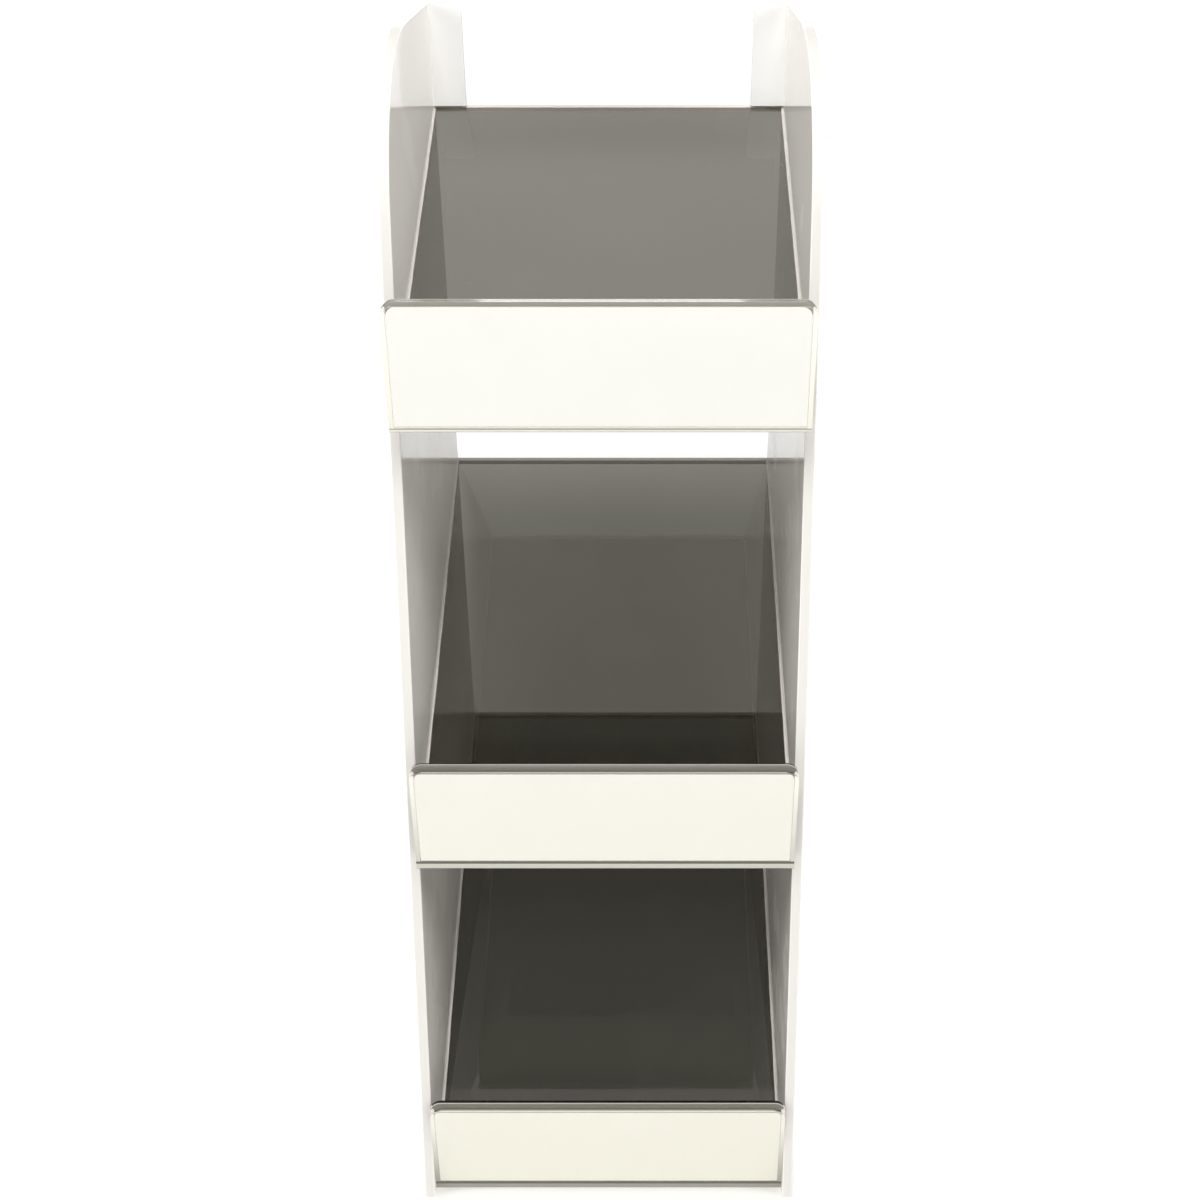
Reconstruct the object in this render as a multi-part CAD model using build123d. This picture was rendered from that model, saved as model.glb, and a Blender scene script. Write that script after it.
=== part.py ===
from build123d import *
import os
from math import cos, radians, sin, tan

# A narrow three-tier countertop display rack of glued acrylic sheet.
# Two white side panels carry three shelves that slope down to the front.
# Each shelf is one bent sheet that turns up into a front lip. A clear label
# holder is glued to the lip, and a card stands in it and pulls out upwards.
# Two white header tabs stand at the back, above the top shelf.
# Lengths are in millimetres. +Z is up and the front faces -Y. The origin is on
# the counter, under the middle of the rack.

# Overall sizes
inner_width = 180.0
panel_depth = 270.0

# Side panels
panel_thickness = 5.0
panel_lean_deg = 12.5
panel_top_radius = 85.0
panel_edge_round = 0.7

# Shelves
shelf_thickness = 3.0
shelf_slope_deg = 25.2
bend_inner_radius = 1.5
lip_height = 56.0
lip_corner_radius = 5.5

# Places of the three shelves
foot_gap = 1.5
lower_pitch = 176.4
upper_pitch = 197.4
bottom_setback = 4.5
middle_setback = 26.1
top_setback = 28.4

# Label holders and their cards
leaf_thickness = 1.0
fold_height = 2.0
fold_radius = 0.7
holder_end_gap = 0.3
card_thickness = 0.8
card_front_gap = 0.9
card_back_gap = 0.2
card_seat_gap = 0.2
card_height = 52.0
card_side_margin = 2.1
card_corner_radius = 4.5
leaf_over_card = 0.4

# Header tabs
tab_width = 16.5
tab_height = 50.0
tab_thickness = 5.0
tab_corner_radius = 7.0
tab_seat_gap = 0.2

# Places and sizes that follow from the ones above
half_width = inner_width / 2
back_y = panel_depth / 2
front_y = -panel_depth / 2
slope = radians(shelf_slope_deg)
bend_outer_radius = bend_inner_radius + shelf_thickness
pocket_gap = card_front_gap + card_thickness + card_back_gap
holder_depth = 2 * leaf_thickness + pocket_gap
holder_width = inner_width - 2 * holder_end_gap
card_width = holder_width - 2 * card_side_margin
shelf_back_y = back_y - shelf_thickness * sin(slope)


def shelf_drop(y):
    """How far the top of a shelf has come down at y, from its back edge."""
    return (shelf_back_y - y) * tan(slope)


def shelf_rise(lip_front):
    """Height of a shelf's back edge above the lowest line of its bend."""
    bend_y = lip_front + bend_outer_radius
    return shelf_drop(bend_y) + (shelf_thickness - bend_outer_radius) / cos(slope) + bend_outer_radius


def lowest_z(face_y, back_z):
    """Height of the lowest line of a shelf's bend, where its label holder starts."""
    return back_z - shelf_rise(face_y + holder_depth)


# The front faces of the label holders, from the lowest shelf up
bottom_face_y = front_y + bottom_setback
middle_face_y = bottom_face_y + middle_setback
top_face_y = middle_face_y + top_setback

# The back edges of the shelves, from the lowest up
bottom_shelf_z = foot_gap + shelf_rise(bottom_face_y + holder_depth)
middle_shelf_z = bottom_shelf_z + lower_pitch
top_shelf_z = middle_shelf_z + upper_pitch
panel_height = top_shelf_z + tab_height

tiers = {
    "bottom": (bottom_face_y, bottom_shelf_z),
    "middle": (middle_face_y, middle_shelf_z),
    "top": (top_face_y, top_shelf_z),
}


def across(outline, width):
    """A solid of the given width, centred on x = 0, from an outline in y and z."""
    face = Plane.YZ * outline
    return Pos(-width / 2, 0, 0) * extrude(face, width, dir=(1, 0, 0))


def upright_plate(width, height, thickness, radius, front, base):
    """A plate in x and z with both top corners rounded."""
    outline = Pos(0, height / 2) * Rectangle(width, height)
    outline = fillet(outline.vertices().group_by(Axis.Y)[-1], radius)
    return Pos(0, front, base) * extrude(Plane.XZ * outline, thickness, dir=(0, 1, 0))


def side_panel(side):
    """One side panel. Side is -1 for the left one and 1 for the right one."""
    lean = panel_height * tan(radians(panel_lean_deg))
    corners = [(front_y, 0), (back_y, 0), (back_y, panel_height), (front_y + lean, panel_height)]
    outline = Polygon(*corners, align=None)
    top_front = outline.vertices().group_by(Axis.Y)[-1].sort_by(Axis.X)[0]
    outline = fillet(top_front, panel_top_radius)
    panel = across(outline, panel_thickness)
    rim = panel.edges().filter_by(Axis.X, reverse=True)
    panel = fillet(rim, panel_edge_round)
    return Pos(side * (half_width + panel_thickness / 2), 0, 0) * panel


def shelf(face_y, back_z):
    """A sloping shelf and its front lip, bent from one sheet."""
    lip_front = face_y + holder_depth
    lip_back = lip_front + shelf_thickness
    lip_top = lowest_z(face_y, back_z) + lip_height
    skin = shelf_thickness / cos(slope)
    inner_corner = (lip_back, back_z - shelf_drop(lip_back))
    outer_corner = (lip_front, back_z - shelf_drop(lip_front) - skin)
    corners = [
        (shelf_back_y, back_z),
        inner_corner,
        (lip_back, lip_top),
        (lip_front, lip_top),
        outer_corner,
        (back_y, back_z - shelf_thickness * cos(slope)),
    ]
    outline = Polygon(*corners, align=None)
    for corner, radius in ((inner_corner, bend_inner_radius), (outer_corner, bend_outer_radius)):
        nearest = outline.vertices().sort_by_distance((corner[0], corner[1], 0))[0]
        outline = fillet(nearest, radius)
    sheet = across(outline, inner_width)
    return fillet(sheet.edges().filter_by(Axis.Y), lip_corner_radius)


def label_holder(face_y, low_z):
    """A clear strip folded into a pocket: front leaf, bottom fold and back leaf."""
    leaf_height = fold_height + card_seat_gap + card_height + leaf_over_card
    front = upright_plate(holder_width, leaf_height, leaf_thickness, card_corner_radius, face_y, low_z)
    back_face = face_y + leaf_thickness + pocket_gap
    back = upright_plate(holder_width, lip_height, leaf_thickness, lip_corner_radius, back_face, low_z)
    standing = (Align.CENTER, Align.MIN, Align.MIN)
    fold = Pos(0, face_y, low_z) * Box(holder_width, holder_depth, fold_height, align=standing)
    holder = front + fold + back
    low_edges = holder.edges().filter_by(Axis.X).group_by(Axis.Z)[0]
    return fillet(low_edges, fold_radius)


def label_card(face_y, low_z):
    """The card that stands in the pocket."""
    front = face_y + leaf_thickness + card_front_gap
    base = low_z + fold_height + card_seat_gap
    return upright_plate(card_width, card_height, card_thickness, card_corner_radius, front, base)


def header_tab(side):
    """A tab glued to the inside of a side panel, with its free top corner rounded."""
    height = tab_height - tab_seat_gap
    outline = Pos(0, height / 2) * Rectangle(tab_width, height)
    top = outline.vertices().group_by(Axis.Y)[-1]
    inner_corner = top.sort_by(Axis.X)[-1] if side < 0 else top.sort_by(Axis.X)[0]
    outline = fillet(inner_corner, tab_corner_radius)
    tab = extrude(Plane.XZ * outline, tab_thickness, dir=(0, 1, 0))
    x = side * (half_width - tab_width / 2)
    return Pos(x, back_y - tab_thickness, top_shelf_z + tab_seat_gap) * tab


def rack_pieces():
    """Every piece of the rack by its name."""
    pieces = {}
    for side, name in ((-1, "left"), (1, "right")):
        pieces["side_panel_" + name] = side_panel(side)
        pieces["header_tab_" + name] = header_tab(side)
    for tier, (face_y, back_z) in tiers.items():
        low_z = lowest_z(face_y, back_z)
        pieces["shelf_" + tier] = shelf(face_y, back_z)
        pieces["label_holder_" + tier] = label_holder(face_y, low_z)
        pieces["label_card_" + tier] = label_card(face_y, low_z)
    return pieces


os.makedirs("parts", exist_ok=True)
for piece_name, piece in rack_pieces().items():
    export_step(piece, "parts/" + piece_name + ".step")
print("panel height", round(panel_height, 2))
for tier, (face_y, back_z) in tiers.items():
    low_z = lowest_z(face_y, back_z)
    print(tier, "face y", round(face_y, 2), "back edge z", round(back_z, 2), "lowest z", round(low_z, 2))
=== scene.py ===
import bpy
from math import radians
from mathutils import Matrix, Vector


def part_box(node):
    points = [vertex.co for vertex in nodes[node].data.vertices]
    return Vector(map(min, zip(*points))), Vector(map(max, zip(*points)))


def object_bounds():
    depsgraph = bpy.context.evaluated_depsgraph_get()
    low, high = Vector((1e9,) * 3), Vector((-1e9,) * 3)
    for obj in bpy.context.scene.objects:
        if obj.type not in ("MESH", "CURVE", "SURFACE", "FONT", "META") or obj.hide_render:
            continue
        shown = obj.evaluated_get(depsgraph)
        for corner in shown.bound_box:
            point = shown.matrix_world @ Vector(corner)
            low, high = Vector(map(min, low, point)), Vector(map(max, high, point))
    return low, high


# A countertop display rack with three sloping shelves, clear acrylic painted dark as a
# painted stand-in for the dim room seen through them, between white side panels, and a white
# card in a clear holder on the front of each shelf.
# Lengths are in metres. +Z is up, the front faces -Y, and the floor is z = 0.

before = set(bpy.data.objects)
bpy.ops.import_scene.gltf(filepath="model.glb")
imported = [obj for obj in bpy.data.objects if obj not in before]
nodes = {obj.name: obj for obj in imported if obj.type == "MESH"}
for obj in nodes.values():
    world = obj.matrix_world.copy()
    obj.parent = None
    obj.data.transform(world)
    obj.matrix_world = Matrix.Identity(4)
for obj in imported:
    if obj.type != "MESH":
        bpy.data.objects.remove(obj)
cad_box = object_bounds()

MM = 0.001

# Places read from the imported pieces
panel_inner_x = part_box("side_panel_right")[0].x
card_edge_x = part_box("label_card_top")[1].x
back_y = cad_box[1].y

# Sizes of the sheets, and of the bands that are coloured on them
sheet_thickness = 3 * MM
leaf_thickness = 1 * MM
strip_height = 45 * MM
seam_width = 0.8 * MM
seam_fade = 0.2 * MM
# The back-edge band is a painted highlight, standing for the glow of the sheet's cut back
# edge.
back_glint_width = 3.4 * MM
back_glint_fade = 0.4 * MM
# The rim is a painted highlight along the back of the shelf lip's cut.
rim_width = 0.6 * MM
hair = 0.1 * MM
fold_fade = 0.3 * MM
line_fade = 0.4 * MM
card_top_fade = 0.4 * MM

# How each tier's holder and lip look. Their colours are painted light and shade, set for how
# each tier is lit. The milky fold of the holder ends at fold_top, under a painted shadow line
# of line_height. The pale cut along the top of the shelf's lip is cut_width deep.
tier_looks = {
    "top": {
        "fold_top": 1.4 * MM,
        "line_height": 0.6 * MM,
        "fold_colour": (0.84, 0.83, 0.75, 1),
        "line_colour": (0.36, 0.35, 0.3, 1),
        "rim_colour": (0.35, 0.34, 0.295, 1),
        "leaf_edge_colour": (0.8, 0.79, 0.72, 1),
        "cut_width": 3.0 * MM,
    },
    "middle": {
        "fold_top": 3.3 * MM,
        "line_height": 1.3 * MM,
        "fold_colour": (0.62, 0.615, 0.545, 1),
        "line_colour": (0.12, 0.117, 0.095, 1),
        "rim_colour": (0.185, 0.18, 0.15, 1),
        "leaf_edge_colour": (0.27, 0.265, 0.225, 1),
        "cut_width": 2.0 * MM,
    },
    "bottom": {
        "fold_top": 3.6 * MM,
        "line_height": 1.4 * MM,
        "fold_colour": (0.345, 0.34, 0.3, 1),
        "line_colour": (0.12, 0.117, 0.095, 1),
        "rim_colour": (0.21, 0.2, 0.168, 1),
        "leaf_edge_colour": (0.6, 0.585, 0.52, 1),
        "cut_width": 1.3 * MM,
    },
}

# White acrylic. Each pair of colours is blended by a soft cloud.
panel_colours = ((0.925, 0.89, 0.845, 1), (0.94, 0.915, 0.88, 1))
# The tabs get a whiter, cooler copy of the white acrylic, painted light for the shade they
# sit in beside the panels.
tab_colours = ((0.9, 0.905, 0.895, 1), (0.915, 0.92, 0.915, 1))
# Sawn edges are dull, and also painted darker as painted shade, so the strongly lit front
# edges stay below white.
dull_shaded_edge_colour = (0.76, 0.75, 0.72, 1)
dull_shaded_edge_share = 0.9
sawn_extra_sheen = 0.27
grime_colour = (0.55, 0.53, 0.5, 1)
grime_share = 0.15
saw_line_scales = {"X": (60.0, 1400.0, 1400.0), "Y": (1400.0, 60.0, 1400.0)}
acrylic_ior = 1.49

# Acrylic painted dark, a painted stand-in for the dim room seen through the clear shelves,
# with its bare glued and cut edges
dim_room_glass_colours = ((0.188, 0.182, 0.153, 1), (0.212, 0.206, 0.177, 1))
dim_room_glass_light = (0.455, 0.45, 0.42, 1)
# Pale colour of the glued seams, and of the painted highlights along the back edge and the
# back of the lip's cut.
glue_and_glint_colour = (0.93, 0.88, 0.84, 1)
dull_cut_colour = (0.62, 0.59, 0.52, 1)
glue_and_glint_share = 0.95
# Share of the painted highlight along the back of the lip's cut.
rim_share = 0.8
cut_share = 0.5
smudge_haze = 0.008
speck_haze = 0.3

# Clear plastic strip. The milk is the share of it that light doesn't pass.
strip_colours = ((0.95, 0.945, 0.91, 1), (0.97, 0.97, 0.945, 1))
strip_light = (0.97, 0.97, 0.95, 1)
strip_top_colour = (0.94, 0.93, 0.86, 1)
strip_ior = 1.46
strip_milk = 0.08
end_milk = 0.75
fold_milk = 0.95
edge_milk = 0.85
# Share of painted shade on the strip's downward-facing faces.
underside_share = 0.8

# Card, from the height of the lowest card to that of the highest. The lower cards are painted
# lighter and creamier, painted light for their dimmer lamp light.
low_card_colour = (0.98, 0.965, 0.9, 1)
high_card_colour = (0.89, 0.9, 0.915, 1)
card_heights = (0.05, 0.42)
card_mark_colour = (0.8, 0.78, 0.72, 1)
card_mark_share = 0.06
# The card's upward-facing top edge is painted dark as painted shade between the holder's
# leaves.
card_top_shade_colour = (0.32, 0.31, 0.27, 1)
card_ior = 1.45

# Camera
camera_place = (0.01881, -0.65975, 0.63538)
camera_tilt_down = radians(28.43)
picture_side_px = 1200
focal_length_px = 1472.2
axis_column_px = 644.87
axis_row_px = 601.75
sensor_width_mm = 36.0

# Lights
lamp_colour = (1.0, 0.985, 0.965)
key_place = Vector((0, -0.9, 1.6))
key_size = (0.6, 0.5)
key_power = 12.2
rear_place = Vector((0, 2.4, 0.9))
rear_size = (1.2, 0.8)
rear_power = 8.0
fill_side = 1.8
fill_front = -1.8
fill_height = 0.55
fill_size = (0.9, 0.9)
fill_power = 9.6
high_side = 1.6
high_front = -0.4
high_height = 1.2
high_size = (0.6, 0.6)
high_power_left = 17.5
high_power_right = 13.5
rack_middle = Vector((0, 0, 0.28))
sky_colour = (0.8, 0.8, 0.8, 1)
sky_strength = 0.32
sky_seen = 1.0

# Floor. Its lift is painted light that is only seen: some under the rack, little in the rest
# of the rack's shadow, and more beside it and further out.
floor_side = 30.0
floor_colour = (0.66, 0.66, 0.655, 1)
floor_lift_colour = (1, 1, 1, 1)
# Painted light under the rack, where the shadow is lifted more.
floor_lift_under = 0.14
floor_lift_near = 0.03
floor_lift_middle = 0.565
floor_lift_far = 0.5
under_reach = (0.03, 0.14)
shadow_front = (-0.13, -0.19)
shadow_back = (0.65, 0.93)
shadow_side = 0.1
shadow_spread = 0.1
shadow_fade = (0.85, 1.1)
far_reach = (1.1, 3.0)
far_middle = (0.0, -1.0, 0.0)
far_pull = (2.0, 1.0, 1.0)


class Tree:
    """A node tree in the making, with short ways to add nodes to it."""

    def __init__(self, tree):
        self.tree = tree
        self.tree.nodes.clear()

    def add(self, kind, inputs=None, **settings):
        """A node. Inputs go by name or number, and are values or sockets."""
        made = self.tree.nodes.new("ShaderNode" + kind)
        for key, value in settings.items():
            setattr(made, key, value)
        for key, value in (inputs or {}).items():
            if isinstance(value, bpy.types.NodeSocket):
                self.tree.links.new(value, made.inputs[key])
            else:
                made.inputs[key].default_value = value
        return made

    def maths(self, operation, a, b=0.0):
        return self.add("Math", {0: a, 1: b}, operation=operation).outputs[0]

    def plus(self, a, b):
        return self.maths("ADD", a, b)

    def rest_of(self, a):
        """What is left of 1."""
        return self.maths("SUBTRACT", 1.0, a)

    def both(self, a, b):
        """Two masks multiplied, or a mask made weaker."""
        return self.maths("MULTIPLY", a, b)

    def either(self, a, b):
        """The stronger of two masks."""
        return self.maths("MAXIMUM", a, b)

    def ramp(self, value, low, high, to_low=0.0, to_high=1.0, smooth=True):
        """Value carried from low..high to to_low..to_high, and held beyond."""
        inputs = {0: value, 1: low, 2: high, 3: to_low, 4: to_high}
        kind = "SMOOTHSTEP" if smooth else "LINEAR"
        return self.add("MapRange", inputs, interpolation_type=kind).outputs[0]

    def seen_share(self):
        """1 for rays from the camera, mirrors and glass, and 0 for the rest."""
        path = self.add("LightPath").outputs
        seen = self.either(path["Is Camera Ray"], path["Is Glossy Ray"])
        return self.either(seen, path["Is Transmission Ray"])


class Finish(Tree):
    """One material in the making, with its place and facing on the piece."""

    def __init__(self, name):
        self.material = bpy.data.materials.new(name)
        self.material.use_nodes = True
        super().__init__(self.material.node_tree)
        coordinates = self.add("TexCoord")
        self.place = coordinates.outputs["Object"]
        self.facing = coordinates.outputs["Normal"]

    def axis(self, vector, name):
        return self.add("SeparateXYZ", {0: vector}).outputs[name]

    def size(self, vector, name):
        """How large one part of a vector is, without its sign."""
        return self.maths("ABSOLUTE", self.axis(vector, name))

    def stretched(self, scale, location=(0.0, 0.0, 0.0)):
        """The place on the piece, with each axis scaled, and then moved."""
        inputs = {"Vector": self.place, "Location": location, "Scale": scale}
        return self.add("Mapping", inputs).outputs[0]

    def noise(self, scale, detail=3.0, roughness=0.5, place=None):
        source = self.place if place is None else place
        inputs = {"Vector": source, "Scale": scale, "Detail": detail, "Roughness": roughness}
        return self.add("TexNoise", inputs).outputs[0]

    def blend(self, share, first, second):
        """A colour between two others."""
        inputs = {"Factor": share, 6: first, 7: second}
        return self.add("Mix", inputs, data_type="RGBA").outputs[2]

    def bump(self, height, distance, strength, under=None):
        inputs = {"Height": height, "Distance": distance, "Strength": strength}
        if under is not None:
            inputs["Normal"] = under
        return self.add("Bump", inputs).outputs[0]

    def plastic(self, colour, sheen, ior, normal, clear=0.0):
        """The one shader that every piece has. Clear is its see-through share."""
        shader = self.add("BsdfPrincipled", {
            "Base Color": colour,
            "Roughness": sheen,
            "IOR": ior,
            "Transmission Weight": clear,
            "Normal": normal,
        })
        return shader.outputs[0]

    def show(self, shader):
        self.add("OutputMaterial", {"Surface": shader})
        return self.material

    def show_letting_light_through(self, shader, tint):
        """Glass that passes the light of lamps and of the room straight on, tinted."""
        path = self.add("LightPath").outputs
        clear = self.add("BsdfTransparent", {"Color": tint}).outputs[0]
        for kind in ("Is Shadow Ray", "Is Diffuse Ray"):
            shader = self.add("MixShader", {0: path[kind], 1: shader, 2: clear}).outputs[0]
        return self.show(shader)


def smudges(finish, scale, low, high):
    """Soft finger marks and wiped patches, 0 on clean plastic and 1 in a mark."""
    cloud = finish.noise(scale, detail=4.0, roughness=0.62)
    patch = finish.noise(scale * 0.3, detail=1.0)
    return finish.ramp(finish.both(cloud, finish.ramp(patch, 0.4, 0.65)), low, high)


def scratches(finish, along, across):
    """Hair-fine scratches that run mostly one way."""
    lines = finish.noise(1.0, detail=2.0, place=finish.stretched((across, along, along)))
    return finish.ramp(lines, 0.66, 0.72)


def dust(finish, scale, low, high):
    """Scattered specks, 0 between them."""
    return finish.ramp(finish.noise(scale, detail=1.0, roughness=0.4), low, high)


def white_acrylic(name, flat_axis, colours):
    """White cast sheet with gloss faces across one axis, and dull sawn edges that are also
    painted darker as painted shade.
    """
    finish = Finish(name)
    flat = finish.size(finish.facing, flat_axis)
    sawn = finish.ramp(flat, 0.35, 0.1)
    arris = finish.both(finish.ramp(flat, 0.15, 0.45), finish.ramp(flat, 0.98, 0.75))
    cloud = finish.noise(9.0, detail=2.0)
    marks = smudges(finish, 60.0, 0.3, 0.5)
    grime = finish.both(finish.noise(90.0, detail=5.0), arris)

    face = finish.blend(cloud, *colours)
    edged = finish.blend(finish.both(sawn, dull_shaded_edge_share), face, dull_shaded_edge_colour)
    colour = finish.blend(finish.both(grime, grime_share), edged, grime_colour)

    saw_lines = finish.stretched(saw_line_scales[flat_axis])
    teeth = finish.noise(1.0, detail=2.0, place=saw_lines)
    scuffs = scratches(finish, along=40.0, across=2500.0)
    sheen = finish.ramp(marks, 0.0, 1.0, to_low=0.045, to_high=0.16)
    sheen = finish.plus(sheen, finish.both(sawn, sawn_extra_sheen))
    sheen = finish.plus(sheen, finish.both(scuffs, 0.04))

    wave = finish.bump(finish.noise(14.0, detail=1.0), 0.25 * MM, strength=0.35)
    normal = finish.bump(finish.both(teeth, sawn), 0.05 * MM, strength=0.6, under=wave)
    return finish.show(finish.plastic(colour, sheen, acrylic_ior, normal))


def clear_acrylic_painted_dark(node, cut_width):
    """Sheet painted dark for the dim room seen through it, pale along its glued ends and cut
    lip, with painted highlights along its back edge and the back of the lip's cut.
    """
    finish = Finish(node + "_sheet")
    lip_front_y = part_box(node)[0].y
    lip_back_y = lip_front_y + sheet_thickness
    cut_back_y = lip_front_y + cut_width
    seam_x = panel_inner_x - seam_width
    back_glint_y = back_y - back_glint_width
    side = finish.size(finish.place, "X")
    depth = finish.axis(finish.place, "Y")

    glue = finish.ramp(finish.noise(45.0, detail=1.0), 0.3, 0.7, to_high=seam_fade)
    seam = finish.ramp(finish.plus(side, glue), seam_x, seam_x + seam_fade)
    # Painted highlight: a pale band along the sheet's back edge.
    back_glint = finish.ramp(depth, back_glint_y, back_glint_y + back_glint_fade)
    on_cut = finish.ramp(finish.size(finish.facing, "Y"), 0.3, 0.1)
    on_lip = finish.ramp(depth, lip_back_y + hair, lip_back_y - hair)
    # Painted highlight: a light line along the back of the lip's top cut.
    rim = finish.ramp(depth, cut_back_y - rim_width, cut_back_y - rim_width / 2)
    cut_side = finish.ramp(depth, cut_back_y + 2 * hair, cut_back_y)
    lip_cut = finish.both(finish.both(on_cut, on_lip), cut_side)
    marks = smudges(finish, 45.0, 0.32, 0.52)
    specks = dust(finish, 700.0, 0.76, 0.8)
    haze = finish.plus(finish.both(marks, smudge_haze), finish.both(specks, speck_haze))
    pale = finish.both(finish.either(seam, back_glint), glue_and_glint_share)
    pale = finish.either(pale, finish.both(finish.both(lip_cut, rim), rim_share))
    pale = finish.either(pale, finish.both(lip_cut, cut_share))
    pale = finish.either(pale, haze)

    # Painted darkness: this tint stands in for the dim room seen through clear shelves.
    glass = finish.blend(finish.noise(7.0, detail=2.0), *dim_room_glass_colours)
    dull_cut = finish.both(lip_cut, finish.ramp(rim, 1.0, 0.0))
    bare = finish.blend(dull_cut, glue_and_glint_colour, dull_cut_colour)
    colour = finish.blend(pale, glass, bare)

    scuffs = scratches(finish, along=30.0, across=1800.0)
    sheen = finish.ramp(marks, 0.0, 1.0, to_low=0.012, to_high=0.045)
    sheen = finish.plus(sheen, finish.both(scuffs, 0.03))
    sheen = finish.plus(sheen, finish.both(pale, 0.3))
    normal = finish.bump(finish.noise(11.0, detail=1.0), 0.2 * MM, strength=0.3)
    shader = finish.plastic(colour, sheen, acrylic_ior, normal, finish.rest_of(pale))
    return finish.show_letting_light_through(shader, dim_room_glass_light)


def clear_plastic(node, look):
    """Thin clear strip, milky where it is folded and along its short ends, with painted shade
    and light set for its tier: a greyer fold, a painted shadow line, darker undersides, ends
    darker towards the bottom, and painted top edges and rim.
    """
    finish = Finish(node + "_strip")
    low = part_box(node)[0]
    card_top_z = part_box(node.replace("holder", "card"))[1].z
    fold_top = low.z + look["fold_top"]
    line_top = fold_top + look["line_height"]
    leaf_behind_y = low.y + leaf_thickness * 1.3
    leaf_within_y = low.y + leaf_thickness * 1.1
    side = finish.size(finish.place, "X")
    depth = finish.axis(finish.place, "Y")
    height = finish.axis(finish.place, "Z")
    upward = finish.axis(finish.facing, "Z")

    fold = finish.ramp(height, line_top, line_top - fold_fade)
    # Painted shadow line between the card's foot and the fold.
    line = finish.both(fold, finish.ramp(height, fold_top - line_fade, fold_top))
    # Painted shade on the strip's downward-facing faces.
    underside = finish.ramp(upward, -0.2, -0.7)
    # Painted light and shade on the upward-facing edges, in each tier's leaf_edge_colour.
    top_edge = finish.ramp(upward, 0.5, 0.8)
    front_leaf = finish.ramp(depth, leaf_behind_y, leaf_within_y)
    over_card = finish.ramp(height, card_top_z - card_top_fade, card_top_z)
    # Painted shade: the back leaf's top over the card, painted dark like the lip band.
    rim = finish.both(over_card, finish.rest_of(front_leaf))
    ends = finish.ramp(side, card_edge_x - hair, card_edge_x + 4 * hair)
    dark = finish.either(line, finish.both(underside, underside_share))

    marks = smudges(finish, 80.0, 0.3, 0.5)
    sheet = finish.blend(finish.noise(25.0, detail=2.0), *strip_colours)
    # Painted shade: the strip's ends darken towards the bottom, to the tier's fold colour.
    climb = finish.ramp(height, low.z, low.z + strip_height, smooth=False)
    end = finish.blend(climb, look["fold_colour"], strip_top_colour)
    ended = finish.blend(ends, sheet, end)
    # The fold is milky, and painted greyer on the lower tiers as painted shade.
    folded = finish.blend(fold, ended, look["fold_colour"])
    lined = finish.blend(dark, folded, look["line_colour"])
    edged = finish.blend(top_edge, lined, look["leaf_edge_colour"])
    colour = finish.blend(rim, edged, look["rim_colour"])

    milk = finish.plus(strip_milk, finish.both(ends, end_milk))
    milk = finish.either(milk, finish.both(fold, fold_milk))
    milk = finish.either(milk, finish.both(finish.either(rim, top_edge), edge_milk))
    sheen = finish.ramp(marks, 0.0, 1.0, to_low=0.03, to_high=0.12)
    normal = finish.bump(finish.noise(30.0, detail=1.0), 0.12 * MM, strength=0.3)
    shader = finish.plastic(colour, sheen, strip_ior, normal, finish.rest_of(milk))
    return finish.show_letting_light_through(shader, strip_light)


def card():
    """Smooth white board, painted lighter and creamier on the lower cards for their dimmer
    light, with its top edge painted dark as painted shade.
    """
    finish = Finish("white_card")
    height = finish.ramp(finish.axis(finish.place, "Z"), *card_heights, smooth=False)
    fibre = finish.noise(900.0, detail=4.0, roughness=0.6)
    cloud = finish.noise(30.0, detail=3.0)
    # Painted shade on the card's upward-facing top edge.
    cut = finish.ramp(finish.axis(finish.facing, "Z"), 0.6, 0.8)

    # Painted light: lighter lower down, where the lamps light the cards less.
    white = finish.blend(height, low_card_colour, high_card_colour)
    faced = finish.blend(finish.both(cloud, card_mark_share), white, card_mark_colour)
    colour = finish.blend(cut, faced, card_top_shade_colour)
    sheen = finish.ramp(fibre, 0.3, 0.7, to_low=0.38, to_high=0.52)
    normal = finish.bump(fibre, 0.03 * MM, strength=0.4)
    return finish.show(finish.plastic(colour, sheen, card_ior, normal))


def dress(material, *names):
    """Gives a material to whole pieces, in the slots that they already have."""
    for name in names:
        for slot in nodes[name].material_slots:
            slot.material = material


def make_floor():
    """A pale floor that keeps the shadow and looks white further out."""
    bpy.ops.mesh.primitive_plane_add(size=floor_side)
    floor = bpy.context.object
    floor.name = "floor"
    finish = Finish("pale_floor")
    body = finish.add("BsdfDiffuse", {"Color": floor_colour}).outputs[0]
    back = finish.axis(finish.place, "Y")
    side = finish.size(finish.place, "X")
    shadow_end = shadow_side + shadow_spread
    width = finish.ramp(back, 0.0, 1.0, shadow_side, shadow_end, smooth=False)
    aside = finish.maths("DIVIDE", side, width)
    clear = finish.either(finish.ramp(back, *shadow_back), finish.ramp(back, *shadow_front))
    clear = finish.either(clear, finish.ramp(aside, *shadow_fade))
    spread = finish.stretched(far_pull, far_middle)
    away = finish.add("VectorMath", {0: spread}, operation="LENGTH").outputs["Value"]
    under = finish.ramp(back, *under_reach, floor_lift_under, floor_lift_near)
    near = finish.ramp(clear, 0.0, 1.0, under, floor_lift_middle, smooth=False)
    far = finish.ramp(away, *far_reach, 0.0, floor_lift_far, smooth=False)
    lift = finish.both(finish.seen_share(), finish.plus(near, far))
    glow = finish.add("Emission", {"Color": floor_lift_colour, "Strength": lift}).outputs[0]
    shader = finish.add("AddShader", {0: body, 1: glow}).outputs[0]
    floor.data.materials.append(finish.show(shader))


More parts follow.
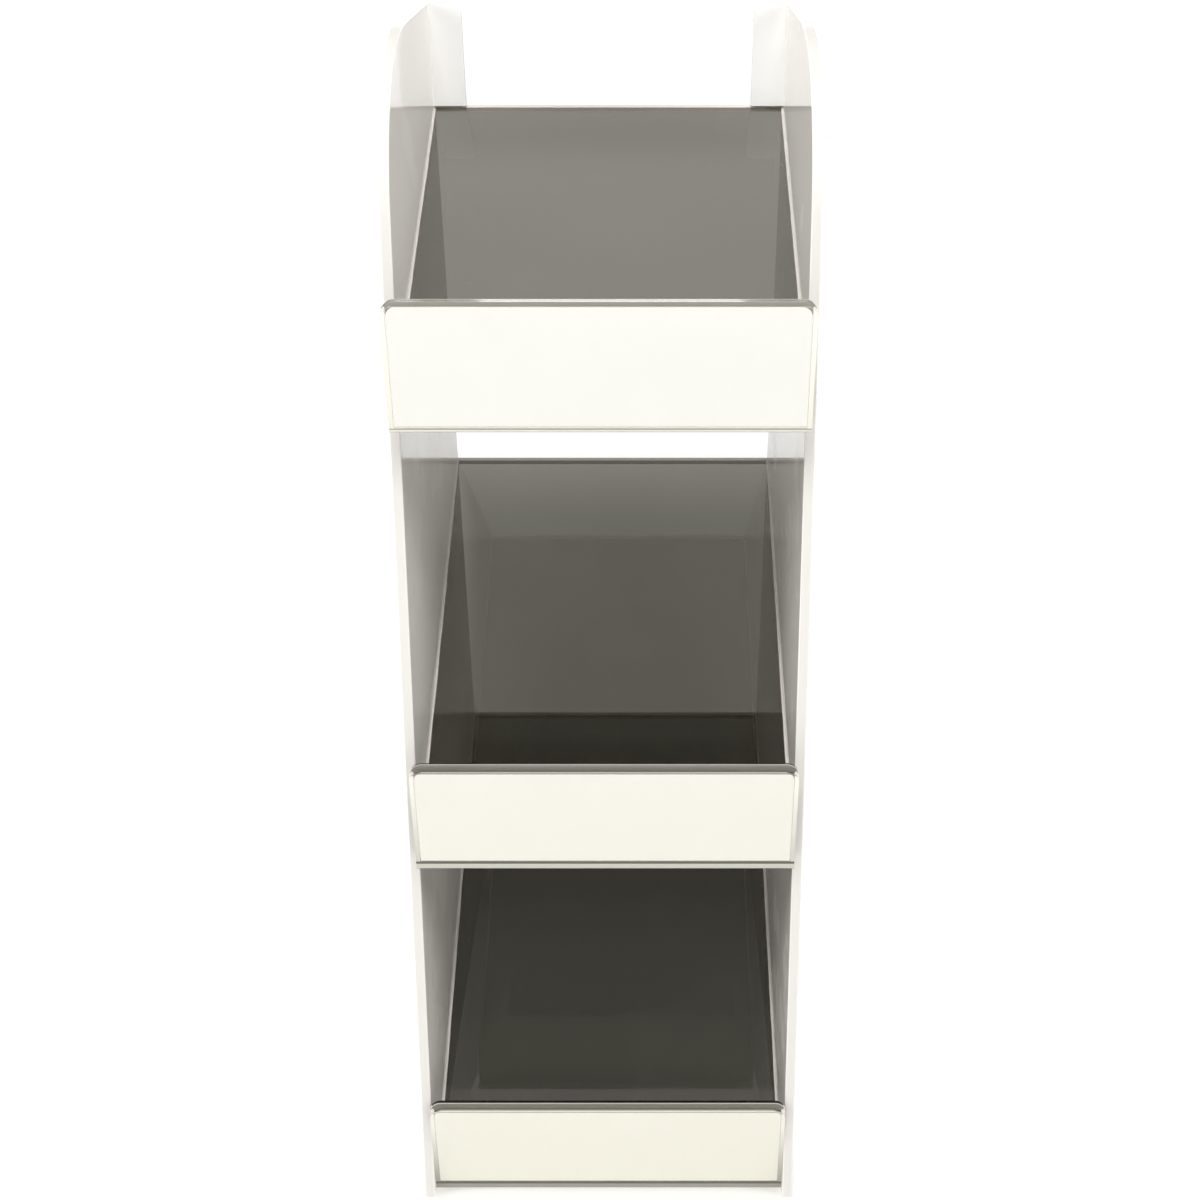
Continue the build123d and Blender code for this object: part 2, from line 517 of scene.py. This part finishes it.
def make_sky():
    """An even pale room, white where it is seen."""
    world = bpy.data.worlds.new("room")
    bpy.context.scene.world = world
    world.use_nodes = True
    sky = Tree(world.node_tree)
    seen = sky.seen_share()
    strength = sky.ramp(seen, 0.0, 1.0, sky_strength, sky_seen, smooth=False)
    room = sky.add("Background", {"Color": sky_colour, "Strength": strength}).outputs[0]
    sky.add("OutputWorld", {"Surface": room})


def make_soft_box(name, place, size, power):
    """A soft box at a place, turned to the middle of the rack."""
    lamp = bpy.data.lights.new(name, "AREA")
    lamp.shape = "RECTANGLE"
    lamp.size, lamp.size_y = size
    lamp.energy = power
    lamp.color = lamp_colour
    box = bpy.data.objects.new(name, lamp)
    bpy.context.scene.collection.objects.link(box)
    box.location = place
    box.rotation_euler = (place - rack_middle).to_track_quat("Z", "Y").to_euler()


def make_camera():
    """The photograph's viewpoint, with the shift that its framing needs."""
    lens = bpy.data.cameras.new("camera")
    lens.sensor_width = sensor_width_mm
    lens.lens = focal_length_px * sensor_width_mm / picture_side_px
    middle_px = picture_side_px / 2
    lens.shift_x = (middle_px - axis_column_px) / picture_side_px
    lens.shift_y = (axis_row_px - middle_px) / picture_side_px
    camera = bpy.data.objects.new("camera", lens)
    bpy.context.scene.collection.objects.link(camera)
    camera.location = camera_place
    camera.rotation_euler = (radians(90) - camera_tilt_down, 0, 0)
    bpy.context.scene.camera = camera


make_camera()
make_sky()
make_soft_box("key", key_place, key_size, key_power)
make_soft_box("rear", rear_place, rear_size, rear_power)
for side, name, high_power in ((-1, "left", high_power_left), (1, "right", high_power_right)):
    fill_place = Vector((side * fill_side, fill_front, fill_height))
    high_place = Vector((side * high_side, high_front, high_height))
    make_soft_box("fill_" + name, fill_place, fill_size, fill_power)
    make_soft_box("high_" + name, high_place, high_size, high_power)
make_floor()

panel_sheet = white_acrylic("white_acrylic_sheet", "X", panel_colours)
# A lighter copy of the white acrylic, as painted light for the tabs.
tab_sheet = white_acrylic("white_acrylic_lit_for_tabs", "Y", tab_colours)
dress(panel_sheet, "side_panel_left", "side_panel_right")
dress(tab_sheet, "header_tab_left", "header_tab_right")
for tier, look in tier_looks.items():
    dress(clear_acrylic_painted_dark("shelf_" + tier, look["cut_width"]), "shelf_" + tier)
    dress(clear_plastic("label_holder_" + tier, look), "label_holder_" + tier)
dress(card(), "label_card_top", "label_card_middle", "label_card_bottom")

bpy.context.scene.view_settings.view_transform = "Standard"
